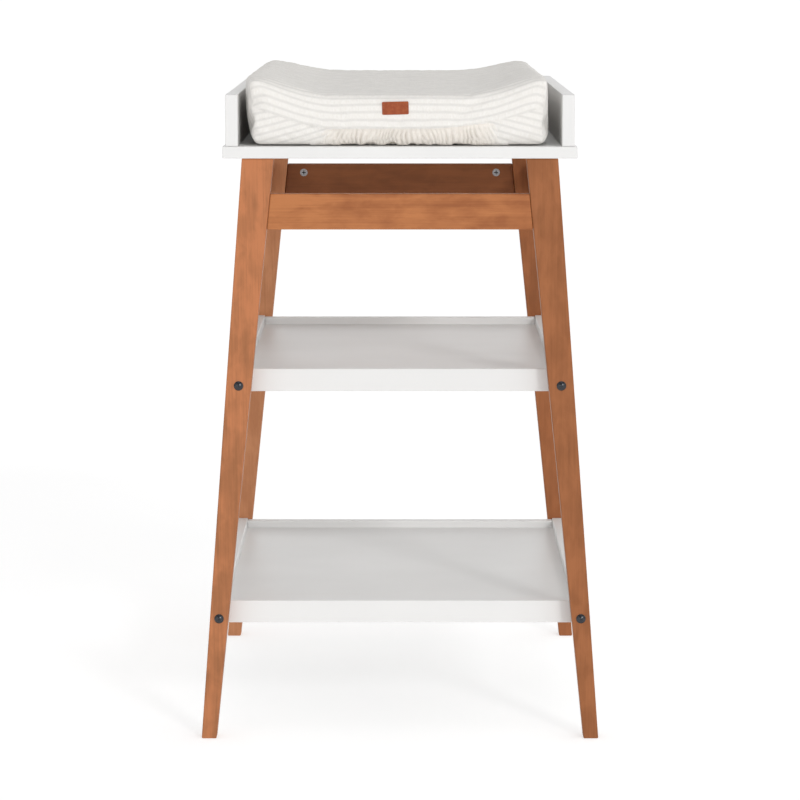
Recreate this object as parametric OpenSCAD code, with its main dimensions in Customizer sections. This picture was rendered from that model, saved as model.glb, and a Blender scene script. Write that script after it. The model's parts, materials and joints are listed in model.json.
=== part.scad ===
/* [Frame] */
// Height of the legs, floor to the underside of the tray
leg_h = 900; // [850:5:950]
// Depth of the frame, front face of the front legs to rear face of the rear legs
frame_d = 750; // [700:10:780]
// Half width across the outer edges of a pair of legs at the floor
foot_half = 308; // [290:1:330]
// Half width across the outer edges of a pair of legs at the top
top_half = 239; // [232:1:244]
// Width of a leg's face at the top
leg_top_w = 48; // [44:1:54]
// Width of a leg's face at the floor
leg_foot_w = 23; // [20:1:30]
// Thickness of a leg, front to back
leg_t = 30; // [26:1:34]
// Radius on the long edges of the wooden parts
wood_round = 1.8; // [1:0.2:2.5]

/* [Rails] */
// Height of a rail
rail_h = 54; // [45:1:60]
// Thickness of a rail
rail_t = 20; // [18:1:22]
// Height of the front rail's top edge
rail_top = 846; // [830:1:860]
// How much lower the rear rail sits
rear_rail_drop = 3; // [0:1:6]
// How far a rail is set back from the outer faces of the legs
rail_set_back = 1.5; // [1:0.5:4]

/* [Tray] */
// Width of the tray's bottom board
tray_w = 536; // [520:1:560]
// Overhang of the bottom board past the front and rear legs
tray_overhang = 6; // [4:1:12]
// Thickness of the bottom board
tray_t = 18; // [16:1:20]
// Thickness of the tray's side and back panels
wall_t = 19; // [18:0.5:20]
// Height of those panels above the bottom board
wall_h = 78; // [70:1:90]
// Step from the end of the bottom board to the outer face of a side panel
wall_step = 4.5; // [3:0.5:8]
// Step from the bottom board's front and rear edges to the panels' ends
end_step = 1.5; // [1:0.5:4]
// Radius on the edges of the painted boards
paint_round = 1.5; // [1:0.25:2]

/* [Shelves] */
// Height of the lower shelf's lip
lower_top = 212.5; // [190:0.5:250]
// Height of the upper shelf's lip
upper_top = 575.5; // [540:0.5:610]
// Height of a shelf's front and rear lips
lip_h = 35; // [32:1:40]
// How much higher the side boards stand than the lips
side_rise = 2; // [0:0.5:3]
// Thickness of lips and side boards
lip_t = 18; // [18:1:20]
// Depth of the shelf panel below the lips' top edges
panel_drop = 12; // [10:1:14]
// Thickness of a shelf panel
panel_t = 15; // [12:1:16]
// Depth of the shelf bolts' axis below the lips' top edges
bolt_drop = 22.5; // [20:0.5:24]

/* [Hardware] */
// Diameter of a shelf bolt's round head
bolt_head_d = 14.5; // [12:0.5:16]
// Diameter of a shelf bolt's shank
bolt_d = 6; // [5:1:6]
// Diameter of a cam lock
cam_d = 13; // [12:1:15]
// Distance from a rail's end to its cam lock
cam_inset = 30; // [26:1:34]

/* [Pad] */
// Width of the changing pad
pad_w = 452; // [440:1:460]
// Length of the changing pad
pad_l = 700; // [680:5:715]
// Height of the pad's raised long sides
pad_crest = 105; // [95:1:115]
// Height of the pad along its middle
pad_dip = 86; // [75:1:90]
// Height of the pad at the outer shoulder of each raised side
pad_shoulder = 90; // [80:1:95]
// Thickness of the pad's quilted cover
cover_t = 2; // [1.5:0.5:3]

/* [Hidden] */

// Facet counts: round hardware, and the easing on wooden parts
$fn = 48;
ease_fn = 12;
// Radial clearance of hardware in its hole, and the gap between faces that meet
fit = 0.1;
gap = 0.1;
// Cutters reach this far past a face
past = 1;

wood_colour = "#b5764f";
paint_colour = "#f1f0ed";
steel_colour = "#3a3a3c";
zinc_colour = "#b9bcc0";
beech_colour = "#dcc29a";
cover_colour = "#eeece6";
foam_colour = "#e6dfc4";
leather_colour = "#8a4b2b";

front_y = -frame_d / 2;
rear_y = frame_d / 2;
front_leg_back = front_y + leg_t;
rear_leg_front = rear_y - leg_t;
bay = rear_leg_front - front_leg_back;

// Half widths across a pair of legs at a height
function outer_at(z) = foot_half + (top_half - foot_half) * z / leg_h;
function width_at(z) = leg_foot_w + (leg_top_w - leg_foot_w) * z / leg_h;
function inner_at(z) = outer_at(z) - width_at(z);
function centre_at(z) = outer_at(z) - width_at(z) / 2;

// Tray heights and depth
tray_top = leg_h + tray_t;
tray_d = frame_d + 2 * tray_overhang;
wall_outer = tray_w / 2 - wall_step;
wall_inner = wall_outer - wall_t;
leg_top_x = centre_at(leg_h);
leg_bolt_in = 9;
leg_bolt_y = front_leg_back - leg_bolt_in;

// Shelf hardware: the barrel nuts, how far a bolt reaches past its nut, and its domed head
barrel_d = 10;
barrel_len = 14;
barrel_inset = 40;
bolt_past = 8;
head_h = 4;
head_edge = 0.6;
dome_h = head_h - head_edge;
dome_r = (pow(bolt_head_d / 2, 2) + pow(dome_h, 2)) / (2 * dome_h);
socket_d = 4;
socket_depth = 2.2;
shelf_dowel_d = 6;
shelf_dowel_len = 24;
shelf_dowel_drop = 7;
// A shelf panel's tongue and the groove in the lips and side boards that takes it
groove = 3.5;
tongue_t = 8;
shelf_tops = [lower_top, upper_top];

// Rail hardware
cam_h = 10;
cam_bolt_d = 7;
cam_drop = 15;
cam_sunk = 0.3;
cross_l = 7.3;
cross_w = 1.6;
cross_depth = 3;
thread_len = 12;
rail_gap = 0.3;
dowel_d = 8;
dowel_len = 30;
dowel_drop = 40;
cam_bolt_hole = cam_bolt_d + 2 * fit;
dowel_hole = dowel_d + 2 * fit;
bolt_hole = bolt_d + 2 * fit;
side_rail_t = 18;
side_rail_inset = 2;
side_cam_z = rail_top - cam_drop;
side_dowel_z = rail_top - dowel_drop;
side_cam_x = outer_at(side_cam_z) - side_rail_inset - side_rail_t / 2;
side_dowel_x = outer_at(side_dowel_z) - side_rail_inset - side_rail_t / 2;
lean = atan((foot_half - top_half) / leg_h);
// Front and rear rail: front face, top edge, and the side its inner face looks to
rails_fb = [
  [front_y + rail_set_back, rail_top, 1],
  [rear_y - rail_set_back - rail_t, rail_top - rear_rail_drop, -1]
];

// Tray hardware
insert_d = 10;
insert_len = 15;
insert_bore = 6.2;
tray_bolt_d = 6;
tray_bolt_head = 11;
tray_bolt_head_h = 4;
tray_bolt_len = 30;
tray_bolt_sunk = 0.3;
screw_d = 4.5;
screw_len = 45;
screw_head = 9;
screw_head_h = 4;
screw_sunk = 0.2;
side_screw_ys = [-300, 0, 300];
back_screw_xs = [-180, 0, 180];
corner_dowel_zs = [20, 58];
corner_dowel_len = 28;
corner_dowel_in = 18;

// Pad: how far the slopes reach in from the crests, and the elastic hem underneath
pad_set_back = 2;
pad_front = front_y + pad_set_back;
pad_mid_y = pad_front + pad_l / 2;
pad_clear = 0.2;
crest_in = 18;
crest_x = pad_w / 2 - crest_in;
crest_steps = 6;
slope_run = 120;
slope_steps = 8;
foot_in = 10;
flank_z = 24;
hem_w = 36;
elastic_w = 6;
elastic_clear = 0.3;
label_w = 40;
label_h = 19.5;
label_t = 1.4;
label_round = 2;
label_mid_z = 57.5;
label_x = -7;

// ---------- shared shapes ----------

// A solid through corner points, with its edges and corners rounded. The balls are drawn a
// little large, so that their flats reach the full radius.
module eased(corners, r) {
  hull() for (p = corners) translate(p) sphere(r / cos(180 / ease_fn), $fn = ease_fn);
}

// The rectangle x, y centred on the origin, with corners of radius r
module round_rect(x, y, r) {
  union() {
    square([x - 2 * r, y], center = true);
    square([x, y - 2 * r], center = true);
    for (sx = [-1, 1], sy = [-1, 1]) translate([sx * (x / 2 - r), sy * (y / 2 - r)]) circle(r);
  }
}

// A board from its low corner, eased on every edge
module board(low, size, r = paint_round) {
  translate(low + size / 2) intersection() {
    linear_extrude(size.z, center = true) round_rect(size.x, size.y, r);
    rotate([90, 0, 0]) linear_extrude(size.y, center = true) round_rect(size.x, size.z, r);
    rotate([90, 0, 90]) linear_extrude(size.x, center = true) round_rect(size.y, size.z, r);
  }
}

// Cylinders along X or Y, from a start point towards the positive axis
module rod_x(at, d, len) { translate(at) rotate([0, 90, 0]) cylinder(d = d, h = len); }
module rod_y(at, d, len) { translate(at) rotate([-90, 0, 0]) cylinder(d = d, h = len); }

// The left copy, or the right copy when side is 1
module on_side(side) { if (side == 1) children(); else mirror([1, 0, 0]) children(); }

// The front copy, or the rear copy when place is 1
module on_end(place) { if (place == -1) children(); else mirror([0, 1, 0]) children(); }

// ---------- legs ----------

// The leg of the right-hand front corner, before it is drilled
module leg_blank() {
  r = wood_round;
  ys = [front_y + r, front_leg_back - r];
  eased([for (z = [r, leg_h - r], y = ys, x = [inner_at(z) + r, outer_at(z) - r]) [x, y, z]], r);
}

// A leg with its holes for shelf bolts, tray insert, rail bolt and dowel, side rail bolt and dowel
module leg(side, place) {
  cross_top = rail_top - (place == 1 ? rear_rail_drop : 0);
  cross_y = front_y + rail_set_back + rail_t / 2;
  cam_z = cross_top - cam_drop;
  dowel_z = cross_top - dowel_drop;
  color(wood_colour) on_side(side) on_end(place) difference() {
    leg_blank();
    for (top = shelf_tops) {
      z = top - bolt_drop;
      rod_y([centre_at(z), front_y - past, z], bolt_hole, leg_t + 2 * past);
    }
    translate([leg_top_x, leg_bolt_y, leg_h - insert_len - fit])
      cylinder(d = insert_d + 2 * fit, h = insert_len + past);
    rod_x([inner_at(cam_z) - past, cross_y, cam_z], cam_bolt_hole, thread_len + fit + past);
    rod_x([inner_at(dowel_z) - past, cross_y, dowel_z], dowel_hole, dowel_len / 2 + fit + past);
    rod_y([side_cam_x, front_leg_back - thread_len - fit, side_cam_z], cam_bolt_hole, thread_len + past);
    rod_y([side_dowel_x, front_leg_back - dowel_len / 2 - fit, side_dowel_z], dowel_hole, dowel_len);
  }
}

// ---------- rails ----------

// A rail across the table between two legs, its ends cut to the slope of the legs
module cross_rail(rail) {
  y0 = rail[0];
  z1 = rail[1];
  inner_face = rail[2] == 1 ? y0 + rail_t : y0;
  r = wood_round;
  color(wood_colour) difference() {
    eased([for (z = [z1 - rail_h + r, z1 - r], y = [y0 + r, y0 + rail_t - r], s = [-1, 1])
      [s * (inner_at(z) - rail_gap - r), y, z]], r);
    for (s = [-1, 1]) {
      cam_z = z1 - cam_drop;
      x = inner_at(cam_z) - cam_inset;
      translate([s * x, inner_face, cam_z]) rotate([90, 0, 0])
        cylinder(d = cam_d + 2 * fit, h = 2 * (cam_h + fit), center = true);
      on_side(s) rod_x([x, y0 + rail_t / 2, cam_z], cam_bolt_hole, cam_inset + past);
      dowel_z = z1 - dowel_drop;
      dowel_x = inner_at(dowel_z) - dowel_len / 2 - fit;
      on_side(s) rod_x([dowel_x, y0 + rail_t / 2, dowel_z], dowel_hole, dowel_len);
    }
  }
}

// A rail along the side, between a front and a rear leg, leaning with them
module side_rail(side) {
  r = wood_round;
  half_l = bay / 2 - rail_gap - r;
  color(wood_colour) on_side(side) difference() {
    eased([for (z = [rail_top - rail_h + r, rail_top - r], in = [side_rail_t - r, r], y = [-half_l, half_l])
      [outer_at(z) - side_rail_inset - in, y, z]], r);
    for (e = [-1, 1]) on_end(e) {
      at_side_cam() translate([0, 0, -past]) cylinder(d = cam_d + 2 * fit, h = cam_h + fit + past);
      rod_y([side_cam_x, front_leg_back - past, side_cam_z], cam_bolt_hole, cam_inset + past);
      rod_y([side_dowel_x, front_leg_back - past, side_dowel_z], dowel_hole, dowel_len / 2 + fit + past);
    }
  }
}

// Puts a cam in the inner face of the right side rail, near its front end, +Z into the wood
module at_side_cam() {
  translate([side_cam_x - side_rail_t / 2, front_leg_back + cam_inset, side_cam_z])
    rotate([0, 90 + lean, 0]) children();
}

// A cam lock: a disc with a cross recess in its face, which is just below the wood's surface
module cam_disc() {
  difference() {
    translate([0, 0, cam_sunk]) cylinder(d = cam_d, h = cam_h - cam_sunk);
    for (a = [0, 90]) rotate(a) cube([cross_l, cross_w, 2 * cross_depth], center = true);
  }
}

// The cams of a cross rail, each with a slot that takes the end of its bolt
module rail_cams(rail) {
  cam_z = rail[1] - cam_drop;
  inner_face = rail[2] == 1 ? rail[0] + rail_t : rail[0];
  color(zinc_colour) for (s = [-1, 1]) on_side(s) difference() {
    translate([inner_at(cam_z) - cam_inset, inner_face, cam_z]) rotate([rail[2] * 90, 0, 0]) cam_disc();
    rod_x([inner_at(cam_z) - cam_inset, rail[0] + rail_t / 2, cam_z], cam_bolt_hole, cam_inset);
  }
}

module side_cams() {
  color(zinc_colour) for (s = [-1, 1], e = [-1, 1]) on_side(s) on_end(e) difference() {
    at_side_cam() cam_disc();
    rod_y([side_cam_x, front_leg_back, side_cam_z], cam_bolt_hole, cam_inset);
  }
}

// Bolts from the cams into the legs, across the table
module cross_bolts() {
  color(zinc_colour) for (rail = rails_fb, s = [-1, 1]) {
    z = rail[1] - cam_drop;
    x = inner_at(z);
    on_side(s) rod_x([x - cam_inset + 1, rail[0] + rail_t / 2, z], cam_bolt_d, cam_inset - 1 + thread_len);
  }
}

// The same bolts along the side rails
module side_bolts() {
  color(zinc_colour) for (s = [-1, 1], e = [-1, 1]) on_side(s) on_end(e)
    rod_y([side_cam_x, front_leg_back - thread_len, side_cam_z], cam_bolt_d, cam_inset - 1 + thread_len);
}

module dowels_of_rails() {
  color(beech_colour) {
    for (rail = rails_fb, s = [-1, 1]) {
      z = rail[1] - dowel_drop;
      on_side(s) rod_x([inner_at(z) - dowel_len / 2, rail[0] + rail_t / 2, z], dowel_d, dowel_len);
    }
    for (s = [-1, 1], e = [-1, 1]) on_side(s) on_end(e)
      rod_y([side_dowel_x, front_leg_back - dowel_len / 2, side_dowel_z], dowel_d, dowel_len);
  }
}

// ---------- tray ----------

module at_leg_tops() {
  for (s = [-1, 1], e = [-1, 1]) translate([s * leg_top_x, e * leg_bolt_y, 0]) children();
}

module leg_inserts() {
  color(zinc_colour) at_leg_tops() translate([0, 0, leg_h - insert_len]) difference() {
    cylinder(d = insert_d, h = insert_len - gap);
    translate([0, 0, -past]) cylinder(d = insert_bore, h = insert_len + 2 * past);
  }
}

// Countersunk head and shank, head face at the origin, pointing down
module csk(d, head, head_h, len) {
  translate([0, 0, -len]) cylinder(d = d, h = len);
  translate([0, 0, -head_h]) cylinder(d1 = d, d2 = head, h = head_h);
}

// The hole for it, open to the outside above the head
module csk_hole(d, head, head_h, len) {
  csk(d + 2 * fit, head + 2 * fit, head_h, len);
  cylinder(d = head + 2 * fit, h = past);
}

module tray_fixings() {
  color(zinc_colour) at_leg_tops() translate([0, 0, tray_top - tray_bolt_sunk])
    csk(tray_bolt_d, tray_bolt_head, tray_bolt_head_h, tray_bolt_len);
}

module at_tray_screws() {
  for (s = [-1, 1], y = side_screw_ys) translate([s * (wall_inner + wall_outer) / 2, y, leg_h]) children();
  for (x = back_screw_xs) translate([x, back_mid_y(), leg_h]) children();
}

function back_mid_y() = tray_d / 2 - end_step - wall_t / 2;

module tray_bottom() {
  color(paint_colour) difference() {
    board([-tray_w / 2, -tray_d / 2, leg_h], [tray_w, tray_d, tray_t]);
    at_leg_tops() translate([0, 0, tray_top - tray_bolt_sunk])
      csk_hole(tray_bolt_d, tray_bolt_head, tray_bolt_head_h, tray_t + past);
    at_tray_screws() translate([0, 0, screw_sunk]) mirror([0, 0, 1])
      csk_hole(screw_d, screw_head, screw_head_h, tray_t + past);
  }
}

module screws_of_tray() {
  color(zinc_colour) at_tray_screws() translate([0, 0, screw_sunk]) mirror([0, 0, 1])
    csk(screw_d, screw_head, screw_head_h, screw_len);
}

// Dowel holes between the side panels and the back
module corner_dowel_shapes(d, extra) {
  for (s = [-1, 1], z = corner_dowel_zs) on_side(s)
    rod_x([wall_inner - corner_dowel_in - extra, back_mid_y(), tray_top + z],
      d, corner_dowel_len + 2 * extra);
}

module tray_side(side) {
  depth = tray_d - 2 * end_step;
  color(paint_colour) difference() {
    on_side(side) board([wall_inner, -depth / 2, tray_top + gap / 2], [wall_t, depth, wall_h - gap / 2]);
    at_tray_screws() cylinder(d = screw_d + 2 * fit, h = screw_len + past);
    corner_dowel_shapes(dowel_hole, fit);
  }
}

module tray_rear() {
  color(paint_colour) difference() {
    board([-wall_inner + gap, back_mid_y() - wall_t / 2, tray_top + gap / 2],
      [2 * (wall_inner - gap), wall_t, wall_h - gap / 2]);
    at_tray_screws() cylinder(d = screw_d + 2 * fit, h = screw_len + past);
    corner_dowel_shapes(dowel_hole, fit);
  }
}

module corner_dowels() { color(beech_colour) corner_dowel_shapes(dowel_d, 0); }

// ---------- shelves ----------

// Side boards stand centred behind the legs, at the height of the bolts
function side_x(top) = centre_at(top - bolt_drop) - lip_t / 2;
function panel_z(top) = top - panel_drop - panel_t;

// A board on the panel's middle plane that passes the inner faces of lips and side boards by reach
module panel_layer(top, reach, t) {
  translate([0, 0, panel_z(top) + panel_t / 2])
    cube([2 * (side_x(top) + reach), bay - 2 * lip_t + 2 * reach, t], center = true);
}

// The panel, with a tongue all round, and the groove for the tongue
module shelf_panel(top) {
  color(paint_colour) {
    panel_layer(top, -gap, panel_t);
    panel_layer(top, groove - 2 * fit, tongue_t);
  }
}

module panel_groove(top) { panel_layer(top, groove - fit, tongue_t + 2 * fit); }

// Dowels between lips and side boards
module dowels_at(top, d, extra) {
  for (s = [-1, 1], e = [-1, 1]) on_side(s) on_end(e)
    rod_x([side_x(top) - shelf_dowel_len / 2 - extra, front_leg_back + lip_t / 2, top - shelf_dowel_drop],
      d, shelf_dowel_len + 2 * extra);
}

module shelf_lip(top, place) {
  x = side_x(top) - gap;
  color(paint_colour) difference() {
    on_end(place) board([-x, front_leg_back + gap, top - lip_h], [2 * x, lip_t - gap, lip_h]);
    panel_groove(top);
    dowels_at(top, shelf_dowel_d + 2 * fit, fit);
  }
}

module shelf_side(top, side) {
  z = top - bolt_drop;
  color(paint_colour) on_side(side) difference() {
    board([side_x(top), -bay / 2 + gap, top - lip_h], [lip_t, bay - 2 * gap, lip_h + side_rise]);
    panel_groove(top);
    for (e = [-1, 1]) on_end(e) {
      rod_y([centre_at(z), front_leg_back - past, z], bolt_hole, barrel_inset + bolt_past + 2 * past);
      translate([centre_at(z), front_leg_back + barrel_inset, top - lip_h - past])
        cylinder(d = barrel_d + 2 * fit, h = lip_h - bolt_drop + barrel_len / 2 + fit + past);
    }
    dowels_at(top, shelf_dowel_d + 2 * fit, fit);
  }
}

// A round-headed bolt with a six-sided socket, through a leg and into its barrel nut
module shelf_bolt() {
  len = leg_t + barrel_inset + bolt_past;
  difference() {
    union() {
      rod_y([0, -fit, 0], bolt_d, len);
      rotate([90, 0, 0]) translate([0, 0, fit]) rotate_extrude() intersection() {
        translate([0, head_h - dome_r]) circle(dome_r, $fn = 64);
        square([bolt_head_d / 2, head_h]);
      }
    }
    rotate([90, 0, 0]) translate([0, 0, fit + head_h - socket_depth])
      cylinder(d = socket_d, h = head_h, $fn = 6);
  }
}

module shelf_bolts(place) {
  color(steel_colour) for (top = shelf_tops, s = [-1, 1]) on_side(s) on_end(place)
    translate([centre_at(top - bolt_drop), front_y, top - bolt_drop]) shelf_bolt();
}

module nuts() {
  color(zinc_colour) for (top = shelf_tops, s = [-1, 1], e = [-1, 1]) on_side(s) on_end(e)
    translate([centre_at(top - bolt_drop), front_leg_back + barrel_inset, top - bolt_drop]) difference() {
      cylinder(d = barrel_d, h = barrel_len, center = true);
      rotate([90, 0, 0]) cylinder(d = bolt_hole, h = barrel_d + 2 * past, center = true);
    }
}

module all_shelf_dowels() { color(beech_colour) for (top = shelf_tops) dowels_at(top, shelf_dowel_d, 0); }

// ---------- changing pad ----------

// Height of the pad's top at a distance x from its middle line
function pad_top(x) =
  let (past_crest = max(0, x - crest_x) / crest_in, before = max(0, crest_x - x) / slope_run)
    x > crest_x ? pad_shoulder + (pad_crest - pad_shoulder) * sqrt(max(0, 1 - past_crest * past_crest))
    : pad_dip + (pad_crest - pad_dip) * (1 + cos(180 * min(1, before))) / 2;

// Section of the pad across its width, shrunk by inset
function pad_section(inset) =
  let (
    half = pad_w / 2,
    scale_x = (half - inset) / half,
    slope_start = crest_x - slope_run,
    xs = concat([0], [for (i = [0:slope_steps]) slope_start + slope_run * i / slope_steps],
      [for (i = [1:crest_steps]) crest_x + crest_in * sin(90 * i / crest_steps)]),
    top = [for (x = xs) [x * scale_x, pad_top(x) - inset]],
    foot = [half - inset - foot_in, inset],
    flank = [half - inset, inset + flank_z]
  ) concat([[-foot.x, foot.y], foot, flank], [for (i = [len(top) - 1:-1:0]) top[i]],
    [for (i = [1:len(top) - 1]) [-top[i].x, top[i].y]], [[-flank.x, flank.y]]);

module pad_prism(inset) {
  translate([0, pad_mid_y, tray_top]) rotate([90, 0, 0])
    linear_extrude(pad_l - 2 * inset, center = true) polygon(pad_section(inset));
}

module core() { color(foam_colour) pad_prism(cover_t + fit); }

module cover() {
  color(cover_colour) difference() {
    pad_prism(pad_clear);
    pad_prism(cover_t);
    translate([0, pad_mid_y, tray_top]) cube([opening_x(), opening_y(), 3 * cover_t], center = true);
  }
}

function opening_x() = pad_w - 2 * foot_in - 2 * hem_w;
function opening_y() = pad_l - 2 * hem_w;

// The elastic that gathers the cover's hem under the pad
module elastic() {
  color(cover_colour) translate([0, pad_mid_y, tray_top + elastic_clear])
    linear_extrude(cover_t - 2 * elastic_clear) difference() {
      square([opening_x() - 2 * gap, opening_y() - 2 * gap], center = true);
      square([opening_x() - 2 * elastic_w, opening_y() - 2 * elastic_w], center = true);
    }
}

// A blank leather label on the pad's front face
module label() {
  color(leather_colour) translate([label_x, pad_front - label_t, tray_top + label_mid_z])
    rotate([90, 0, 0]) linear_extrude(label_t, center = true) round_rect(label_w, label_h, label_round);
}

// ---------- the assembly ----------

leg(-1, -1);  // leg_front_left
leg(1, -1);  // leg_front_right
leg(-1, 1);  // leg_rear_left
leg(1, 1);  // leg_rear_right
cross_rail(rails_fb[0]);  // front_rail
cross_rail(rails_fb[1]);  // rear_rail
side_rail(-1);  // side_rail_left
side_rail(1);  // side_rail_right
rail_cams(rails_fb[0]);  // front_rail_cams
rail_cams(rails_fb[1]);  // rear_rail_cams
side_cams();  // side_rail_cams
cross_bolts();  // cross_cam_bolts
side_bolts();  // side_cam_bolts
dowels_of_rails();  // rail_dowels
leg_inserts();  // leg_top_inserts
tray_fixings();  // tray_bolts
tray_bottom();  // tray_board
tray_side(-1);  // tray_left_side
tray_side(1);  // tray_right_side
tray_rear();  // tray_back
screws_of_tray();  // tray_screws
corner_dowels();  // tray_corner_dowels
shelf_panel(upper_top);  // upper_shelf_panel
shelf_lip(upper_top, -1);  // upper_shelf_front_lip
shelf_lip(upper_top, 1);  // upper_shelf_rear_lip
shelf_side(upper_top, -1);  // upper_shelf_left_side
shelf_side(upper_top, 1);  // upper_shelf_right_side
shelf_panel(lower_top);  // lower_shelf_panel
shelf_lip(lower_top, -1);  // lower_shelf_front_lip
shelf_lip(lower_top, 1);  // lower_shelf_rear_lip
shelf_side(lower_top, -1);  // lower_shelf_left_side
shelf_side(lower_top, 1);  // lower_shelf_right_side
all_shelf_dowels();  // shelf_dowels
shelf_bolts(-1);  // front_shelf_bolts
shelf_bolts(1);  // rear_shelf_bolts
nuts();  // barrel_nuts
core();  // pad_core
cover();  // pad_cover
elastic();  // pad_elastic
label();  // pad_label
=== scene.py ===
import json
import math

import bmesh
import bpy
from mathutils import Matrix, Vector, noise
from mathutils.bvhtree import BVHTree


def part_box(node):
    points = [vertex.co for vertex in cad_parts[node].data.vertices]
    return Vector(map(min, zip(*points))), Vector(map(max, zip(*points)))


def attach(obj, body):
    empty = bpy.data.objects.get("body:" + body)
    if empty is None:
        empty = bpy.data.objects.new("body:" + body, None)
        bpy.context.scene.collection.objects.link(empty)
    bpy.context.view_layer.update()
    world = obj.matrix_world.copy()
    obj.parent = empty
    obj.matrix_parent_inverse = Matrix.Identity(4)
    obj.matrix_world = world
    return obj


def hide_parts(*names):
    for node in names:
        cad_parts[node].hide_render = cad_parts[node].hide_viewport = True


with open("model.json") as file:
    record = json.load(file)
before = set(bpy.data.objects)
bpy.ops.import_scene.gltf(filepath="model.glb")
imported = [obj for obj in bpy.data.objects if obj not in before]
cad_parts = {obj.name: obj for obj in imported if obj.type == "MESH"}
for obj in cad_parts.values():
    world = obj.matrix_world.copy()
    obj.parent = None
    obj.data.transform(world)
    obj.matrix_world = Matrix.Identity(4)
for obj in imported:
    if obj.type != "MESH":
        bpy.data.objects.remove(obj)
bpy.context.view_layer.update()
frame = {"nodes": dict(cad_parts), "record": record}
scene = bpy.context.scene


# ---------- camera, floor and light ----------

# The lens and sensor in millimetres, and the camera's distance from the front legs and its height.
LENS, SENSOR = 135.7, 36
CAMERA_BACK, CAMERA_HEIGHT = 4.558, 1.1954
CAMERA_DOWN = math.radians(8.29)


def place_camera():
    """A long lens looks at the open front from straight ahead, from a little above the pad."""
    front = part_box("leg_front_left")[0].y
    data = bpy.data.cameras.new("camera")
    data.lens = LENS
    data.sensor_width = SENSOR
    data.clip_end = 1000
    cam = bpy.data.objects.new("camera", data)
    cam.location = (0, front - CAMERA_BACK, CAMERA_HEIGHT)
    cam.rotation_euler = (math.radians(90) - CAMERA_DOWN, 0, 0)
    scene.collection.objects.link(cam)
    scene.camera = cam


# How bright the studio is towards the front, left, right and back: near the floor, and half way up.
GLOW_LOW = (1.95, 0.10, 0.12, 1.60)
GLOW_HALF = (0.05, 0.95, 1.55, 0.55)
CEILING = 0.42
# Where one gives way to the next, and that one to the ceiling, as the sine of the height.
ABOVE_LOW = (0.22, 0.38)
ABOVE_HALF = (0.52, 0.68)
# The lamps: where the light heads, how strong it is, and how many degrees its source spans.
LAMPS = {
    "key": ((-0.45, 0.90, -0.45), 0.70, 10),
    "overhead": ((-0.05, 0.10, -1.0), 0.32, 35),
}
# The floor: half its width, its grey, and its own glow under the table and far from it. The weaker
# glow under the table paints a soft shadow there.
FLOOR_HALF = 300
FLOOR_GREY = 0.60
FLOOR_GLOW = (0.43, 0.56)


def add_sun(name, towards, strength, spread):
    data = bpy.data.lights.new(name, "SUN")
    data.energy = strength
    data.angle = math.radians(spread)
    lamp = bpy.data.objects.new(name, data)
    lamp.rotation_euler = Vector(towards).to_track_quat("-Z", "Y").to_euler()
    scene.collection.objects.link(lamp)


def light_scene():
    """A white studio, lit by its own walls and ceiling: mostly from low in front and behind, and
    from higher up at the sides. One lamp stands in front on the right, and one hangs overhead."""
    world = bpy.data.worlds.new("studio")
    world.use_nodes = True
    nodes, links = world.node_tree.nodes, world.node_tree.links

    def calc(operation, *values):
        node = nodes.new("ShaderNodeMath")
        node.operation = operation
        for socket, value in zip(node.inputs, values):
            if isinstance(value, bpy.types.NodeSocket):
                links.new(value, socket)
            else:
                socket.default_value = value
        return node.outputs[0]

    def rise(low, high):
        level = nodes.new("ShaderNodeMapRange")
        level.interpolation_type = "SMOOTHSTEP"
        level.inputs["From Min"].default_value = low
        level.inputs["From Max"].default_value = high
        links.new(z, level.inputs["Value"])
        return level.outputs["Result"]

    def glow(strengths):
        sides = (calc("MULTIPLY", y, -1.0), calc("MULTIPLY", x, -1.0), x, y)
        total = 0.0
        for side, strength in zip(sides, strengths):
            total = calc("MULTIPLY_ADD", calc("MAXIMUM", side, 0.0), strength, total)
        return total

    split = nodes.new("ShaderNodeSeparateXYZ")
    links.new(nodes.new("ShaderNodeTexCoord").outputs["Generated"], split.inputs[0])
    x, y, z = split.outputs
    above_low, above_half = rise(*ABOVE_LOW), rise(*ABOVE_HALF)
    light = calc("MULTIPLY", calc("SUBTRACT", 1.0, above_low), glow(GLOW_LOW))
    light = calc("MULTIPLY_ADD", calc("SUBTRACT", above_low, above_half), glow(GLOW_HALF), light)
    light = calc("MULTIPLY_ADD", above_half, CEILING, light)
    links.new(light, nodes["Background"].inputs["Strength"])
    nodes["Background"].inputs["Color"].default_value = (1, 1, 1, 1)
    scene.world = world
    for name, (towards, strength, spread) in LAMPS.items():
        add_sun(name, towards, strength, spread)
    scene.view_settings.view_transform = "Standard"
    scene.view_settings.look = "None"


def make_floor():
    """A wide white floor whose own glow hides its far shadows, as a studio's white sweep does. Its
    glow is weaker under the table, a painted soft shadow.
    """
    low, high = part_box("leg_front_left")[0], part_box("leg_rear_right")[1]
    spread = (2 / (high.x - low.x), 2 / (high.y - low.y), 0)
    corners = [(x * FLOOR_HALF, y * FLOOR_HALF, 0) for x, y in ((-1, -1), (1, -1), (1, 1), (-1, 1))]
    mesh = bpy.data.meshes.new("floor")
    mesh.from_pydata(corners, [], [(0, 1, 2, 3)])
    floor = bpy.data.objects.new("floor", mesh)
    scene.collection.objects.link(floor)
    mat = Nodes("floor")
    mat.uniform(Base_Color=rgba(*[FLOOR_GREY] * 3), Roughness=0.9, Specular_IOR_Level=0.0,
                Emission_Color=rgba(1, 1, 1))
    # Painted shadow: the floor's glow rises from weak under the table to full far from it.
    from_table = mat.add("ShaderNodeVectorMath", {"operation": "LENGTH"}, _0=mat.place(spread))
    mat.put(mat.bsdf["Emission Strength"],
            mat.ramp(from_table.outputs["Value"], 0.25, 1.45, *FLOOR_GLOW))
    mesh.materials.append(mat.material)


# ---------- materials ----------

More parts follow.
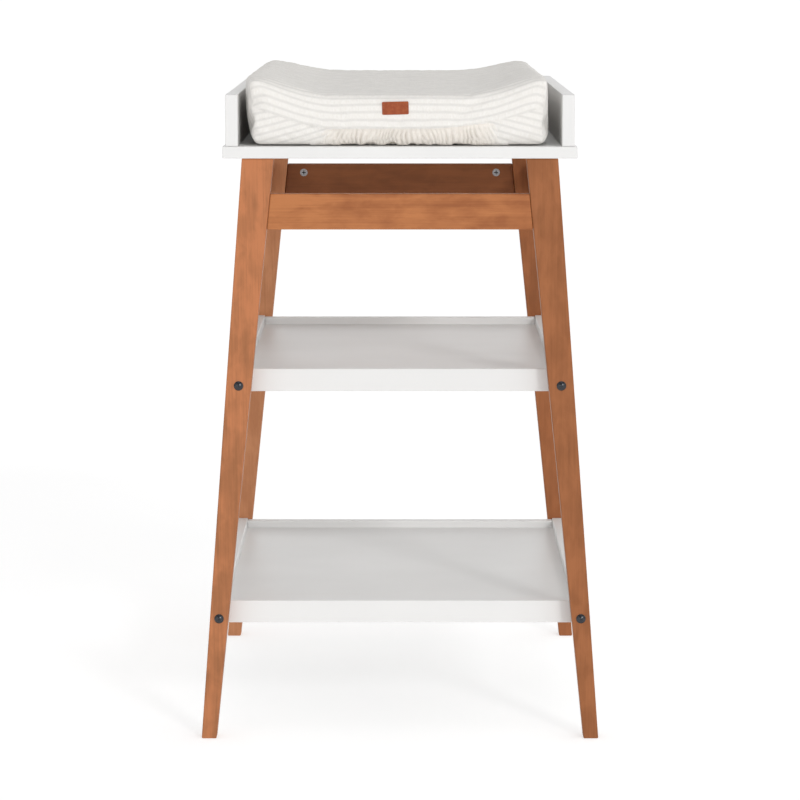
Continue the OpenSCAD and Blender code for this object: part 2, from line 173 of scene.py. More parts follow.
class Nodes:
    """A material's node tree, with short ways to add and join nodes. In a keyword, an input's name
    has _ for each space, and _0 is the first input."""

    def __init__(self, name):
        self.material = bpy.data.materials.new(name)
        self.material.use_nodes = True
        self.tree = self.material.node_tree
        shader = self.tree.nodes["Principled BSDF"]
        self.bsdf = shader.inputs

    def uniform(self, **inputs):
        """Sets inputs of the shader itself, each to one value for the whole surface."""
        for key, value in inputs.items():
            self.bsdf[key.replace("_", " ")].default_value = value

    def add(self, kind, settings=None, **inputs):
        node = self.tree.nodes.new(kind)
        for key, value in (settings or {}).items():
            setattr(node, key, value)
        for key, value in inputs.items():
            which = int(key[1:]) if key[0] == "_" else key.replace("_", " ")
            self.put(node.inputs[which], value)
        return node

    def put(self, socket, value):
        if isinstance(value, bpy.types.NodeSocket):
            self.tree.links.new(value, socket)
        else:
            socket.default_value = value

    def place(self, scale=(1, 1, 1), offset=(0, 0, 0)):
        """Coordinates of the piece itself, in metres."""
        at = self.add("ShaderNodeTexCoord").outputs["Object"]
        return self.add("ShaderNodeMapping", Vector=at, Location=offset, Scale=scale).outputs[0]

    def split(self, vector):
        return self.add("ShaderNodeSeparateXYZ", _0=vector).outputs

    def field(self, name):
        """The three values of a vector that the mesh stores at each point."""
        stored = self.add("ShaderNodeAttribute", {"attribute_name": name})
        return self.split(stored.outputs["Vector"])

    def noise(self, at, scale, detail=3.0, rough=0.5, distort=0.0):
        return self.add("ShaderNodeTexNoise", Vector=at, Scale=scale, Detail=detail,
                        Roughness=rough, Distortion=distort).outputs["Fac"]

    def cells(self, at, scale, feature="F1"):
        return self.add("ShaderNodeTexVoronoi", {"feature": feature}, Vector=at,
                        Scale=scale).outputs["Distance"]

    def math(self, operation, a, b=0.0, c=0.0, clamp=False):
        settings = {"operation": operation, "use_clamp": clamp}
        return self.add("ShaderNodeMath", settings, _0=a, _1=b, _2=c).outputs[0]

    def times(self, a, b):
        return self.math("MULTIPLY", a, b)

    def plus(self, a, b):
        return self.math("ADD", a, b)

    def ramp(self, value, low, high, to_low=0.0, to_high=1.0):
        return self.add("ShaderNodeMapRange", {"interpolation_type": "SMOOTHSTEP"}, Value=value,
                        From_Min=low, From_Max=high, To_Min=to_low, To_Max=to_high).outputs[0]

    def mix(self, fac, a, b, blend="MIX"):
        node = self.add("ShaderNodeMix", {"data_type": "RGBA", "blend_type": blend})
        self.put(node.inputs[0], fac)
        self.put(node.inputs[6], a)
        self.put(node.inputs[7], b)
        return node.outputs[2]

    def colour(self, value):
        self.put(self.bsdf["Base Color"], value)

    def rough(self, value):
        self.put(self.bsdf["Roughness"], value)

    def relief(self, height, strength, distance):
        """Bump of the given depth in metres."""
        node = self.add("ShaderNodeBump", Height=height, Strength=strength, Distance=distance)
        self.put(self.bsdf["Normal"], node.outputs[0])


def rgba(r, g, b):
    return (r, g, b, 1)


def wood(name, along, light, dark, seed, painted_light_drift=(0.0, 1.0, 0.0)):
    """Stained, satin wood with its grain along one axis of the frame. Its tone shifts slowly along
    that axis: the last argument gives where the shift starts, over what length, and by how much.
    That shift is painted light, lighter towards the legs' tops and darker towards the front rail's
    right end."""
    n = Nodes(name)
    axis = "XYZ".index(along)
    stretch, fine, soft = [1.0] * 3, [1.0] * 3, [1.0] * 3
    stretch[axis], fine[axis], soft[axis] = 0.05, 0.02, 0.45
    shift = (seed, seed * 0.7, seed * 1.3)
    close = n.place(fine, shift)
    broad = n.noise(n.place(offset=(seed, seed, seed)), 9, 2, 0.5)
    mottle = n.noise(n.place(soft, shift), 46, 3, 0.55, 0.3)
    bands = n.noise(n.place(stretch, shift), 85, 4, 0.55, 0.9)
    streaks = n.noise(close, 420, 4, 0.6)
    pores = n.noise(close, 1500, 2, 0.5)
    place = n.split(n.place())[axis]
    # Painted light: the tone drifts along the piece as if the light fell off along it.
    tone = n.math("MULTIPLY_ADD", n.math("SUBTRACT", place, painted_light_drift[0]), painted_light_drift[2] / painted_light_drift[1], 0.5)
    for pattern, amount in ((broad, 0.16), (mottle, 0.34), (bands, 0.20), (streaks, 0.16)):
        tone = n.plus(tone, n.ramp(pattern, 0.3, 0.7, -amount, amount))
    colour = n.mix(n.math("ADD", tone, 0.0, clamp=True), rgba(*dark), rgba(*light))
    fleck = n.ramp(pores, 0.62, 0.72)
    n.colour(n.mix(n.times(fleck, 0.22), colour, rgba(*(c * 0.45 for c in dark))))
    n.rough(n.ramp(streaks, 0.3, 0.7, 0.40, 0.52))
    n.uniform(Specular_IOR_Level=0.22)
    n.relief(n.math("SUBTRACT", n.times(streaks, 0.5), fleck), 0.30, 0.0002)
    return n.material


def lacquer(name):
    """Sprayed white lacquer: a faint orange peel, and faint wipe marks in its gloss."""
    n = Nodes(name)
    at = n.place()
    broad = n.noise(at, 5, 3, 0.5)
    peel = n.noise(at, 700, 2, 0.4)
    n.colour(n.mix(n.ramp(broad, 0.3, 0.7), rgba(0.735, 0.73, 0.72), rgba(0.76, 0.755, 0.745)))
    wipe = n.noise(n.place((1, 3, 1)), 6, 3, 0.5)
    n.rough(n.ramp(wipe, 0.3, 0.7, 0.41, 0.45))
    n.uniform(Specular_IOR_Level=0.4)
    n.relief(peel, 0.12, 0.0003)
    return n.material


def zinc(name, face=None, inwards=1.0):
    """Zinc plate. Where a face across Y is given, the recesses cut into it are painted near black,
    as painted shade.
    """
    n = Nodes(name)
    at = n.place()
    spangle = n.noise(at, 900, 3, 0.6)
    colour = n.mix(spangle, rgba(0.24, 0.25, 0.26), rgba(0.46, 0.465, 0.47))
    if face is not None:
        # Painted shade: below the face, the recesses are coloured near black.
        depth = n.times(n.math("SUBTRACT", n.split(at)[1], face), inwards)
        colour = n.mix(n.ramp(depth, 0.0001, 0.0006), colour, rgba(0.020, 0.021, 0.023))
    n.colour(colour)
    n.uniform(Metallic=1)
    n.rough(n.ramp(spangle, 0.3, 0.7, 0.22, 0.38))
    n.relief(n.noise(at, 2500, 2), 0.2, 0.0001)
    return n.material


def black_steel(name):
    """Blackened steel with a thin clear coat, worn greyer in small patches."""
    n = Nodes(name)
    at = n.place()
    grit = n.noise(at, 1800, 3, 0.6)
    wear = n.ramp(n.noise(at, 500, 4, 0.7), 0.6, 0.75)
    n.colour(n.mix(wear, rgba(0.030, 0.032, 0.038), rgba(0.12, 0.12, 0.125)))
    n.uniform(Metallic=0.8, Coat_Weight=0.5, Coat_Roughness=0.15)
    n.rough(n.ramp(grit, 0.3, 0.7, 0.22, 0.34))
    n.relief(grit, 0.2, 0.0001)
    return n.material


# For each piece: the axis its grain follows, its light and dark tones, its seed, and its drift. The
# tones differ partly as each piece takes the stain, and partly as painted light: lighter on the
# left pieces, which the light reaches more, darker on the right ones, and darkest on the rear rail
# as painted shade under the tray. The drift is a painted falloff of light along the piece.
WOODS = {
    "leg_front_left": ("Z", (0.490, 0.182, 0.074), (0.310, 0.120, 0.047), 1.3, (0.50, 0.50, 0.35)),
    "leg_front_right": ("Z", (0.340, 0.122, 0.044), (0.245, 0.085, 0.028), 4.1, (0.50, 0.50, 0.10)),
    "leg_rear_left": ("Z", (0.570, 0.250, 0.118), (0.450, 0.182, 0.080), 7.7, (0.55, 0.50, 0.20)),
    "leg_rear_right": ("Z", (0.330, 0.113, 0.039), (0.245, 0.082, 0.027), 9.2),
    "front_rail": ("X", (0.460, 0.172, 0.060), (0.300, 0.098, 0.032), 12.5, (0.0, 0.20, -0.27)),
    "rear_rail": ("X", (0.255, 0.086, 0.029), (0.190, 0.062, 0.0205), 15.1),
    "side_rail_left": ("Y", (0.430, 0.160, 0.060), (0.330, 0.115, 0.042), 18.3),
    "side_rail_right": ("Y", (0.360, 0.130, 0.048), (0.270, 0.092, 0.031), 21.9),
}


def finish_frame():
    """Gives each CAD node its material. The soft nodes are replaced further down."""
    slots = {s["node"]: s["material_slot"] for s in frame["record"]["subparts"]}
    shared = {
        "white_lacquer": lacquer("white_lacquer"),
        "zinc": zinc("zinc"),
        "dark_steel": black_steel("dark_steel"),
        "dowel_wood": wood("dowel_wood", "X", (0.72, 0.56, 0.37), (0.60, 0.43, 0.26), 30.0),
    }
    own = {
        "rear_rail_cams": zinc("zinc_rear_cams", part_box("rear_rail_cams")[0].y),
        "front_rail_cams": zinc("zinc_front_cams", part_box("front_rail_cams")[1].y, -1.0),
    }
    own.update({name: wood("stained_" + name, *WOODS[name]) for name in WOODS})
    for name, slot in slots.items():
        material = own.get(name, shared.get(slot))
        if material:
            set_material(frame["nodes"][name], material)


def set_material(obj, material):
    obj.data.materials.clear()
    obj.data.materials.append(material)


place_camera()
make_floor()
light_scene()
finish_frame()

# ---------- changing pad ----------
# Lengths are in metres, and heights are above the tray's board.

tray_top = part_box("tray_board")[1].z
pad_low, pad_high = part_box("pad_cover")
HALF = Vector(((pad_high.x - pad_low.x) / 2, (pad_high.y - pad_low.y) / 2))
MID_X = -0.003  # the pad lies a little left of the tray's middle
MID_Y = (pad_low.y + pad_high.y) / 2
CREST = pad_high.z - tray_top  # height of the raised long sides, about
PROUD = 0.0010  # how far they stand above that at the pad's ends
ARCH = 0.0045  # and how much more between the ends
CREST_X = HALF.x - 0.0155  # where they are highest, from the pad's middle
SLOPE = 0.113  # width of the slope from there down to the flat of the trough
TROUGH = 0.0270  # depth of the trough below them, at the front end
TROUGH_RISE = 0.0115  # how much shallower it is towards the rear
SEAT = 0.0020  # gap between the board and the skin
SWELL = 0.0035  # how much smaller than the finished pad the skin starts
MOST_SWELL = 0.005  # no point of the skin moves further than this
FOAM_INSET = 0.0130  # how far the foam's surface lies inside the skin
CELL = 0.006  # mesh cell of the skin
STEPS = 20  # of the cloth simulation

STRIPE = 0.012  # pitch of the stripes
THREAD = 0.0011  # pitch of the threads
FOLD = 0.051  # depth of the fold below the pad's top, at its ends
FOLD_BAND = 0.013  # how far in from an end the skin is shaped by the fold

HEM = 0.034  # width of the hem under the pad
GATHER = 0.150  # half the length that is gathered at an end
GATHER_X = 0.017  # the gathers' middle, to the right of the pad's
SIDE_GATHER = 0.56  # the length that is gathered along a long side
SIDE_FOLD = 0.026  # height of that hem's top
PLEAT = 0.0068  # pitch of the pleats
PLEAT_DEPTH = 0.0064

# Where the stripes of a corner's fan start from, how steeply they fall, how much they curve, and
# their pitch.
FAN_REACH = 0.218
FAN_SLOPE = 0.27
FAN_CURVE = 1.6
FAN_START = 0.0397
FAN_PITCH = 0.0111

# The corners of a rounded rectangle: the signs of x and y, and where the quarter turn starts.
CORNERS = ((1, 1, 0), (-1, 1, 90), (-1, -1, 180), (1, -1, 270))


def ease(t):
    """From 0 to 1, gently at both ends."""
    t = min(max(t, 0.0), 1.0)
    return t * t * (3 - 2 * t)


def top_height(x, y):
    """Height of the pad's top: a trough between two raised long sides, deepest at the front. The
    sides are a little lower at the pad's ends, where the cover draws them in."""
    from_front = (y - pad_low.y) / (2 * HALF.y)
    end_in = HALF.y - abs(y - MID_Y)
    crest = CREST + PROUD + ARCH * ease(end_in / 0.06)
    trough = crest - (CREST - TROUGH + TROUGH_RISE * ease(from_front / 0.7))
    inwards = max(0.0, (CREST_X - abs(x - MID_X)) / SLOPE)
    inwards = min(1.0, inwards * inwards / (inwards + 0.05))
    return crest - trough * math.sin(inwards * math.pi / 2)


def bell(t):
    return math.exp(-t ** 2)


def fold_height(x, y):
    """Height of the fold under which the fabric is gathered at the pad's ends. It rises a little
    on the right."""
    tuck = 0.006 * bell((x - 0.12) / 0.045)
    return top_height(x, y) - FOLD + tuck


def rounded(p, half, radius):
    """Moves a point on the surface of a box of half sizes half onto one with rounded edges."""
    core = [min(max(p[a], radius[a] - half[a]), half[a] - radius[a]) for a in range(3)]
    away = Vector([(p[a] - core[a]) / radius[a] for a in range(3)])
    if away.length > 0:
        away.normalize()
    return Vector([core[a] + away[a] * radius[a] for a in range(3)])


def pad_point(u, v, w, inset):
    """A point of the pad's skin, from a place on the surface of a unit box. The long sides bulge
    between the corners and pull in towards the tray."""
    half = Vector((HALF.x - inset, HALF.y - inset, 0.5))
    radius = (0.012, 0.006, 0.055 if w > 0.5 else 0.150)
    p = rounded(Vector(((2 * u - 1) * half.x, (2 * v - 1) * half.y, w - 0.5)), half, radius)
    level = p.z + 0.5
    belly, bulge = (0.0015, 0.0075) if p.x < 0 else (-0.0030, 0.0)
    belly *= 1 - ease(level / 0.60)
    bulge *= ease((half.y - abs(p.y)) / 0.10)
    bulge *= ease(level / 0.5)
    x = MID_X + p.x * (1 + (bulge - belly) / half.x)
    y = MID_Y + p.y * (1 - 0.0015 * (0.5 - p.z) / half.y)
    return Vector((x, y, tray_top + SEAT + level * (top_height(x, y) - inset - SEAT)))


def box_skin(name, counts, place):
    """A mesh over the surface of a box of counts cells; place(u, v, w) puts each corner."""
    nx, ny, nz = counts
    index, verts, faces = {}, [], []

    def at(i, j, k):
        if (i, j, k) not in index:
            index[i, j, k] = len(verts)
            verts.append(place(i / nx, j / ny, k / nz))
        return index[i, j, k]

    for j in range(ny):
        for i in range(nx):
            faces.append((at(i, j, 0), at(i, j + 1, 0), at(i + 1, j + 1, 0), at(i + 1, j, 0)))
            faces.append((at(i, j, nz), at(i + 1, j, nz), at(i + 1, j + 1, nz), at(i, j + 1, nz)))
    for k in range(nz):
        for i in range(nx):
            faces.append((at(i, 0, k), at(i + 1, 0, k), at(i + 1, 0, k + 1), at(i, 0, k + 1)))
            faces.append((at(i, ny, k), at(i, ny, k + 1), at(i + 1, ny, k + 1), at(i + 1, ny, k)))
        for j in range(ny):
            faces.append((at(0, j, k), at(0, j, k + 1), at(0, j + 1, k + 1), at(0, j + 1, k)))
            faces.append((at(nx, j, k), at(nx, j + 1, k), at(nx, j + 1, k + 1), at(nx, j, k + 1)))
    return add_mesh(name, verts, faces)


def add_mesh(name, verts, faces, smooth=True):
    mesh = bpy.data.meshes.new(name)
    mesh.from_pydata([tuple(v) for v in verts], [], faces)
    mesh.update()
    if smooth:
        mesh.shade_smooth()
    obj = bpy.data.objects.new(name, mesh)
    scene.collection.objects.link(obj)
    return obj


def evaluated(obj):
    return obj.evaluated_get(bpy.context.evaluated_depsgraph_get())


def swell(obj, cap):
    """Inflates the closed fabric skin as cloth, held where it lies on the tray and loosely by the
    foam elsewhere. No point moves further than cap."""
    held_below = tray_top + SEAT + 0.008
    start = [v.co.copy() for v in obj.data.vertices]
    held = obj.vertex_groups.new(name="held")
    for vert in obj.data.vertices:
        held.add([vert.index], 1.0 if vert.co.z < held_below else 0.10, "REPLACE")
    cloth = obj.modifiers.new("cloth", "CLOTH")
    settings = cloth.settings
    settings.quality = 6
    settings.mass = 0.25
    settings.tension_stiffness = settings.compression_stiffness = 18
    settings.shear_stiffness = 8
    settings.bending_stiffness = 0.6
    settings.tension_damping = settings.compression_damping = settings.shear_damping = 25
    settings.air_damping = 10
    settings.use_pressure = True
    settings.uniform_pressure_force = 4
    settings.shrink_min = -0.012
    settings.pin_stiffness = 1.0
    settings.vertex_group_mass = "held"
    settings.effector_weights.gravity = 0
    cloth.point_cache.frame_start, cloth.point_cache.frame_end = 1, STEPS
    for step in range(1, STEPS + 1):
        scene.frame_set(step)
    moved = [v.co.copy() for v in evaluated(obj).data.vertices]
    obj.modifiers.remove(cloth)
    obj.vertex_groups.clear()
    scene.frame_set(1)
    for vert, was, now in zip(obj.data.vertices, start, moved):
        shift = now - was
        vert.co = was + shift * min(1.0, cap / max(shift.length, 1e-9))
    obj.data.update()


def subdivide(obj):
    """Rounds the mesh by one applied subdivision."""
    mod = obj.modifiers.new("round", "SUBSURF")
    mod.levels = mod.render_levels = 1
    shape = bpy.data.meshes.new_from_object(evaluated(obj))
    obj.modifiers.clear()
    old, obj.data = obj.data, shape
    bpy.data.meshes.remove(old)
    obj.data.shade_smooth()


def crinkle(obj):
    """Shallow creases over the cover, deepest on top and none near the tray."""
    normals = [v.normal.copy() for v in obj.data.vertices]
    for vert, normal in zip(obj.data.vertices, normals):
        x, y, z = vert.co
        if z < tray_top + 0.012:
            continue
        lengthways = noise.noise(Vector((x * 95, y * 42, z * 95)))
        crossways = noise.noise(Vector((x * 60, y * 120, z * 60)))
        depth = 0.0003 + 0.0005 * max(0.0, normal.z)
        vert.co += normal * (lengthways + 0.6 * crossways) * depth
    obj.data.update()


def end_of(y):
    """-1 at the front half of the pad and 1 at the rear half."""
    return -1 if y < MID_Y else 1


def depth_in(x, y):
    """Distances in from the nearer long side and from the nearer end."""
    return HALF.x - abs(x - MID_X), HALF.y - abs(y - MID_Y)


def gathered(x):
    """1 where the fabric is gathered along an end of the pad, 0 towards the corners."""
    return ease((GATHER - abs(x - MID_X - GATHER_X)) / 0.035)


def shape_fold(obj):
    """The fold along each end: the fabric above it stands proud of the fabric below."""
    for vert in obj.data.vertices:
        x, y, z = vert.co.x, vert.co.y, vert.co.z - tray_top
        side_in, end_in = depth_in(x, y)
        if end_in > FOLD_BAND or z > CREST - 0.012:
            continue
        above = z - fold_height(x, y)
        weight = ease((side_in - 0.002) / 0.02) * ease((FOLD_BAND - end_in) / 0.006)
        if above > 0:
            shift = 0.0020 * bell((above - 0.002) / 0.009)
        else:
            shift = -(0.0008 + 0.0040 * gathered(x)) * ease(-above / 0.004)
        vert.co.y += end_of(y) * weight * shift
    obj.data.update()


def stripe_fields(x, y, z):
    """Distances that the stripes are drawn from: round the ends, along the long sides, and in the
    fans at the corners. Then how much nearer the point is to an end than to a long side, how far
    it lies below the fold, and 0 for not being on a hem."""
    side_in, end_in = depth_in(x, y)
    along = y - pad_low.y
    ends = along - end_of(y) * (z - top_height(x, y))
    in_corner = FAN_REACH - abs(x - MID_X)
    level = z - FAN_SLOPE * in_corner
    fan = z - (FAN_SLOPE + FAN_CURVE * (0.02 - level)) * in_corner
    fan = (fan - FAN_START) * STRIPE / FAN_PITCH
    return (ends, along, fan), (side_in - end_in, fold_height(x, y) - z, 0.0)


def write_fields(obj, values):
    """Stores the stripe fields of each point with the mesh, for the cotton to read."""
    for name, pick in (("weave_a", 0), ("weave_b", 1)):
        layer = obj.data.attributes.new(name, "FLOAT_VECTOR", "POINT")
        layer.data.foreach_set("vector", [c for value in values for c in value[pick]])


def hem_strip(name, skin, origin, along, outward, length, fold_at, seed, reach):
    """A gathered hem: it leaves from under the fold, hangs down the face of the skin in pleats,
    turns under the pad and ends at the elastic. t is the place along the edge, from its middle,
    and f is the share of the way from the fold to the elastic."""
    columns, rows = int(length / 0.0011), 26
    hang, bend, under = 0.55, 0.20, 0.25  # shares of f
    turned = hang + bend
    lap, round_under, lowest = 0.003, 0.007, 0.0008

    def wave(t, scale, layer):
        return noise.noise(Vector((t * scale, seed, layer)))

    def face_of_skin(t, z):
        start = origin + along * t + outward * 0.05
        start.z = tray_top + max(z, 0.011)
        hit = skin.ray_cast(start, -outward)[0]
        return (hit - origin).dot(outward) if hit else -0.004

    verts, faces, values = [], [], []
    for c in range(columns + 1):
        t = (c / columns - 0.5) * length
        spread = ease((length / 2 - abs(t)) / 0.045) * reach
        top = fold_at(t) + lap
        scallop = ease(0.35 + 1.5 * wave(t, 62, 3.1))
        lift = lowest + spread * (0.0010 + 0.0062 * bell(t / 0.062)) * scallop
        turn = lift + 0.0085
        size = PLEAT_DEPTH * (0.75 + 0.5 * wave(t, 60, 9.0)) * spread
        for r in range(rows + 1):
            f = r / rows
            lean = 0.0
            if f < hang:
                g = f / hang
                z = top - g * (top - turn)
                out = face_of_skin(t, z) - 0.0018 + 0.0042 * spread * ease(g * 2.5)
                face = out
                lean = 0.10 * g
            elif f < turned:
                angle = (f - hang) / bend * math.pi / 2
                z = turn - (turn - lift) * math.sin(angle)
                out = face - round_under * (1 - math.cos(angle))
            else:
                g = (f - turned) / under
                z = lift + (lowest - lift) * ease(g * 3)
                out = face - round_under - g * (HEM - round_under)
            sway = 1.1 * wave(t, 38, 0.5) + 0.30 * math.sin(f * 5 + t * 60)
            pleat = abs(math.sin(math.pi * (t * (1 - lean) / PLEAT + sway))) ** 0.7 - 0.6
            if f < turned:
                out += size * ease(f / 0.40) * pleat
                z += 0.0016 * spread * ease((f - 0.4) / 0.3) * pleat
            else:
                z += 0.4 * size * (1 - 0.75 * g) * (pleat + 0.45)
            p = origin + along * t + outward * out
            verts.append(Vector((p.x, p.y, tray_top + max(z, 0.0004))))
            drawn, where = stripe_fields(p.x, p.y, z)
            values.append((drawn, (*where[:2], spread)))
    for c in range(columns):
        for r in range(rows):
            a = c * (rows + 1) + r
            faces.append((a, a + 1, a + rows + 2, a + rows + 1))
    if along.cross(outward).z > 0:
        faces = [tuple(reversed(f)) for f in faces]
    obj = add_mesh(name, verts, faces)
    write_fields(obj, values)
    return obj


def join(parts):
    bpy.ops.object.select_all(action="DESELECT")
    for part in parts:
        part.select_set(True)
    bpy.context.view_layer.objects.active = parts[0]
    bpy.ops.object.join()
    return parts[0]


def open_underside(obj):
    """Cuts the opening in the cover's underside, and the fabric behind the gathered hems of the
    ends, which stand for it."""
    work = bmesh.new()
    work.from_mesh(obj.data)
    gone = []
    for face in work.faces:
        c = face.calc_center_median()
        side_in, end_in = depth_in(c.x, c.y)
        z = c.z - tray_top
        under = z < SEAT + 0.004 and min(side_in, end_in) > HEM
        at_gather = abs(c.x - MID_X - GATHER_X) < GATHER - 0.030
        if under or (z < 0.018 and end_in < HEM + 0.010 and at_gather):
            gone.append(face)
    bmesh.ops.delete(work, geom=gone, context="FACES")
    work.to_mesh(obj.data)
    work.free()


def cotton():
    """Crinkled double gauze with thin pale grey stripes."""
    n = Nodes("striped_cotton")
    ends, along, fan = n.field("weave_a")
    corner, fold, strip = n.field("weave_b")
    at = n.place()

    def pick(choice, yes, no):
        return n.plus(n.times(yes, choice), n.times(no, n.math("SUBTRACT", 1.0, choice)))

    at_end = n.math("GREATER_THAN", corner, 0.0)
    below_fold = n.times(n.math("GREATER_THAN", fold, 0.0), at_end)
    in_fan = n.times(below_fold, n.math("LESS_THAN", strip, 0.5))
    s = pick(in_fan, fan, pick(at_end, ends, along))
    wander = n.math("MULTIPLY_ADD", n.noise(at, 30, 2), 0.0016, -0.0008)
    s = n.plus(n.plus(s, wander), 0.003)
    off = n.math("PINGPONG", s, STRIPE / 2)
    on_hem = n.ramp(strip, 0.1, 0.5, 1.0, 0.2)
    line = n.times(n.ramp(off, 0.0004, 0.0036, 1.0, 0.0), on_hem)
    crease = n.noise(n.place((1, 0.30, 0.30)), 420, 4, 0.62, 0.4)
    cross = n.noise(n.place((0.30, 1, 1), (3, 5, 2)), 300, 3, 0.6, 0.3)
    puff = n.noise(at, 70, 3, 0.5)
    ripple = n.noise(n.place((1, 0.4, 1), (1, 7, 4)), 130, 4, 0.6, 0.6)
    thread = n.times(n.math("SINE", n.times(s, 2 * math.pi / THREAD)), 0.5)
    faded = n.times(line, n.ramp(crease, 0.25, 0.75, 0.55, 1.0))
    # Painted shade: the crinkles' low parts are coloured darker, as the shade in their creases.
    base = n.mix(n.ramp(crease, 0.3, 0.7), rgba(0.80, 0.775, 0.735), rgba(0.85, 0.83, 0.80))
    colour = n.mix(faded, base, rgba(0.700, 0.680, 0.650))
    # The hems are tinted darker and warmer: partly their doubled cloth, partly painted shade in the
    # gathers.
    n.colour(n.mix(n.times(strip, 0.8), colour, rgba(0.98, 0.945, 0.905), "MULTIPLY"))
    n.uniform(Roughness=0.9, Specular_IOR_Level=0.15, Sheen_Weight=0.12, Sheen_Roughness=0.5)
    height = n.times(crease, 0.9)
    others = ((cross, 0.6), (puff, 0.8), (thread, 0.10), (ripple, 2.2), (line, -0.25))
    for pattern, amount in others:
        height = n.plus(height, n.times(pattern, amount))
    n.relief(height, 0.60, 0.0013)
    return n.material


def foam():
    """Open-celled, yellowish foam."""
    n = Nodes("foam")
    cells = n.cells(n.place(), 900.0)
    n.colour(n.mix(n.ramp(cells, 0.1, 0.6), rgba(0.62, 0.57, 0.42), rgba(0.80, 0.76, 0.60)))
    n.uniform(Roughness=0.95)
    n.relief(cells, 0.6, 0.0008)
    return n.material


def elastic_web():
    """White knitted elastic with fine ribs along it."""
    n = Nodes("elastic_web")
    at = n.place()
    ribs = n.math("SINE", n.times(n.split(at)[2], 9000.0))
    grain = n.noise(at, 1500, 2)
    n.colour(n.mix(grain, rgba(0.78, 0.77, 0.74), rgba(0.88, 0.87, 0.85)))
    n.uniform(Roughness=0.85)
    n.relief(n.plus(ribs, grain), 0.3, 0.0003)
    return n.material


def leather():
    """Tan leather with a fine pebbled grain."""
    n = Nodes("label_leather")
    at = n.place()
    pebble = n.cells(at, 1400.0, "SMOOTH_F1")
    tone = n.noise(at, 160, 4, 0.6)
    n.colour(n.mix(n.ramp(tone, 0.3, 0.7), rgba(0.27, 0.058, 0.021), rgba(0.35, 0.090, 0.035)))
    n.rough(n.ramp(tone, 0.3, 0.7, 0.50, 0.66))
    n.uniform(Specular_IOR_Level=0.2)
    n.relief(n.plus(pebble, n.times(tone, 0.5)), 0.25, 0.0003)
    return n.material


def make_cover():
    counts = [round(2 * HALF.x / CELL), round(2 * HALF.y / CELL), round(CREST / CELL)]
    cover = box_skin("pad_cover_cotton", counts, lambda u, v, w: pad_point(u, v, w, SWELL))
    swell(cover, MOST_SWELL)
    subdivide(cover)
    crinkle(cover)
    shape_fold(cover)
    points = [v.co for v in cover.data.vertices]
    write_fields(cover, [stripe_fields(x, y, z - tray_top) for x, y, z in points])
    skin = BVHTree.FromPolygons(points, [p.vertices[:] for p in cover.data.polygons])
    open_underside(cover)
    strips = [cover]
    middle = MID_X + GATHER_X
    x_axis, y_axis = Vector((1, 0, 0)), Vector((0, 1, 0))
    for end in (-1, 1):
        y = MID_Y + end * HALF.y
        strips.append(hem_strip(
            f"hem_end_{end}", skin, Vector((middle, y, 0)), x_axis, y_axis * end,
            2 * GATHER, lambda t, y=y: fold_height(t + middle, y), 2.3 + end, 1.0))
    for side in (-1, 1):
        x = MID_X + side * (HALF.x - 0.004)
        strips.append(hem_strip(
            f"hem_side_{side}", skin, Vector((x, MID_Y, 0)), y_axis, x_axis * side,
            SIDE_GATHER, lambda t: SIDE_FOLD, 7.9 + side, 0.8))
    cover = join(strips)
    set_material(cover, cotton())
    return cover


def make_foam():
    counts = [44, 68, 10]
    core = box_skin("pad_foam_core", counts, lambda u, v, w: pad_point(u, v, w, FOAM_INSET))
    set_material(core, foam())
    return core


def make_elastic():
    """The elastic along the opening under the pad, drawn up in small waves."""
    half_x, half_y, corner = HALF.x - HEM - 0.002, HALF.y - HEM - 0.002, 0.05
    half_width, half_thick = 0.0030, 0.0009
    level = tray_top + 2 * half_thick
    path = []
    for cx, cy, start in CORNERS:
        for k in range(13):
            a = math.radians(start + 90 * k / 12)
            path.append(Vector((MID_X + cx * (half_x - corner) + corner * math.cos(a),
                                MID_Y + cy * (half_y - corner) + corner * math.sin(a), 0)))
    dense = []
    for a, b in zip(path, path[1:] + path[:1]):
        steps = max(1, round((b - a).length / 0.003))
        dense += [a.lerp(b, k / steps) for k in range(steps)]
    verts, faces = [], []
    count, ring = len(dense), 8
    for k, p in enumerate(dense):
        ahead = (dense[(k + 1) % count] - dense[k - 1]).normalized()
        out = Vector((ahead.y, -ahead.x, 0))
        wave = 0.0009 * math.sin(k * 1.7) + 0.0005 * math.sin(k * 0.61)
        for r in range(ring):
            a = 2 * math.pi * r / ring
            z = level + half_thick * math.sin(a) + 0.0003 * math.sin(k * 1.7)
            verts.append(p + out * (half_width * math.cos(a) + wave) + Vector((0, 0, z)))
    for k in range(count):
        for r in range(ring):
            a, b = k * ring + r, k * ring + (r + 1) % ring
            c, d = ((k + 1) % count) * ring + (r + 1) % ring, ((k + 1) % count) * ring + r
            faces.append((a, b, c, d))
    band = add_mesh("pad_elastic_band", verts, faces)
    set_material(band, elastic_web())
    return band


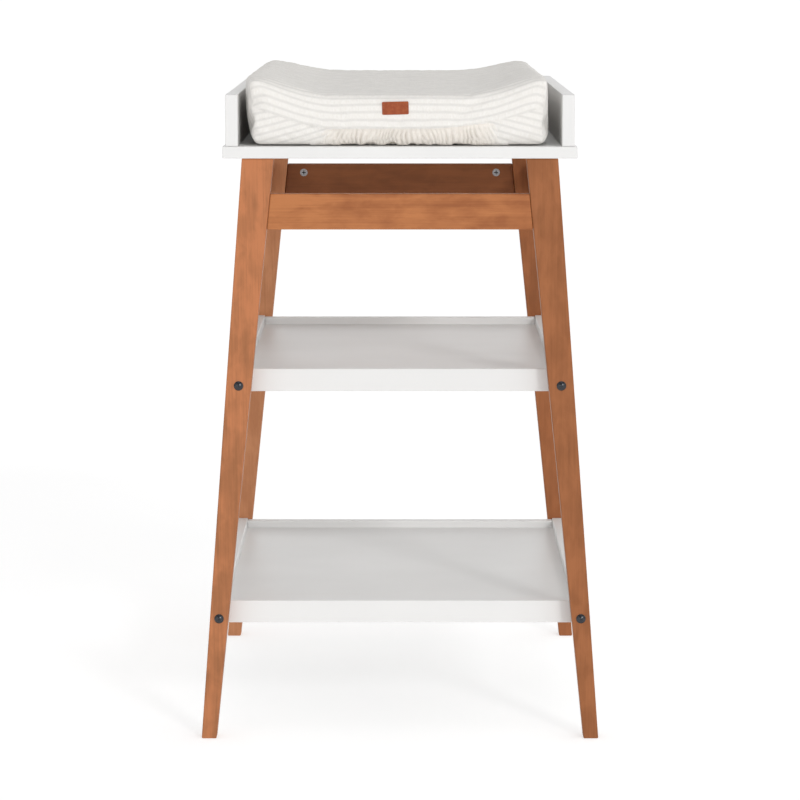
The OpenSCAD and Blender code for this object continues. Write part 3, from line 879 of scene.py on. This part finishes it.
def make_label():
    """A small blank leather label, sewn on at its two ends, slightly askew."""
    low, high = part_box("pad_label")
    mid = (low + high) / 2
    half_w, half_h, thick = (high.x - low.x) / 2, (high.z - low.z) / 2, high.y - low.y
    radius = 0.0018
    tilt = math.radians(1.5)
    outline = []
    for cx, cz, start in CORNERS:
        for k in range(7):
            a = math.radians(start + 15 * k)
            outline.append((cx * (half_w - radius), cz * (half_h - radius),
                            math.cos(a), math.sin(a)))
    # The edge's profile: shares of the corners' radius inwards and of the thickness outwards.
    profile = [(0.0, 0.0), (0.0, 0.6), (0.10, 0.85), (0.30, 1.0), (0.7, 1.03)]

    def put(x, z, out):
        return Vector((mid.x + x * math.cos(tilt) - z * math.sin(tilt), high.y - out * thick,
                       mid.z + x * math.sin(tilt) + z * math.cos(tilt)))

    verts, faces = [], []
    for inset, out in profile:
        reach = radius * (1 - inset)
        for cx, cz, dx, dz in outline:
            verts.append(put(cx + dx * reach, cz + dz * reach, out))
    count, last = len(outline), len(profile) - 1
    for step in range(last):
        for k in range(count):
            a, b = step * count + k, step * count + (k + 1) % count
            faces.append((a, a + count, b + count, b))
    faces.append(tuple(last * count + k for k in reversed(range(count))))
    faces.append(tuple(range(count)))
    label = add_mesh("pad_label_leather", verts, faces, smooth=False)
    set_material(label, leather())
    return label, make_stitches(half_w, half_h, put)


def make_stitches(half_w, half_h, put):
    """Short threads along the label's two ends."""
    verts, faces = [], []
    ring = 6
    length, pitch, width, margin = 0.0020, 0.0029, 0.00032, 0.0024
    count = int((2 * half_h - 0.004) / pitch)
    for side in (-1, 1):
        for k in range(count):
            z0 = (k - (count - 1) / 2) * pitch
            base = len(verts)
            for j in range(5):
                f = j / 4 - 0.5
                bulge = 0.20 * math.cos(math.pi * f)
                taper = 0.35 + 0.65 * math.cos(math.pi * f)
                for r in range(ring):
                    a = 2 * math.pi * r / ring
                    verts.append(put(side * (half_w - margin) + width * taper * math.cos(a),
                                     z0 + f * length, 0.98 + bulge + 0.20 * taper * math.sin(a)))
            for j in range(4):
                for r in range(ring):
                    a, b = base + j * ring + r, base + j * ring + (r + 1) % ring
                    faces.append((a, b, b + ring, a + ring))
    obj = add_mesh("pad_label_stitches", verts, faces)
    n = Nodes("label_thread")
    twist = n.noise(n.place(), 4000, 2)
    n.colour(n.mix(twist, rgba(0.20, 0.06, 0.03), rgba(0.36, 0.13, 0.06)))
    n.uniform(Roughness=0.7)
    n.relief(twist, 0.3, 0.0001)
    set_material(obj, n.material)
    return obj


cover = make_cover()
core = make_foam()
band = make_elastic()
label, stitches = make_label()
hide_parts("pad_cover")
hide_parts("pad_core")
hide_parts("pad_elastic")
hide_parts("pad_label")
for piece in (cover, core, band, label, stitches):
    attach(piece, "pad")
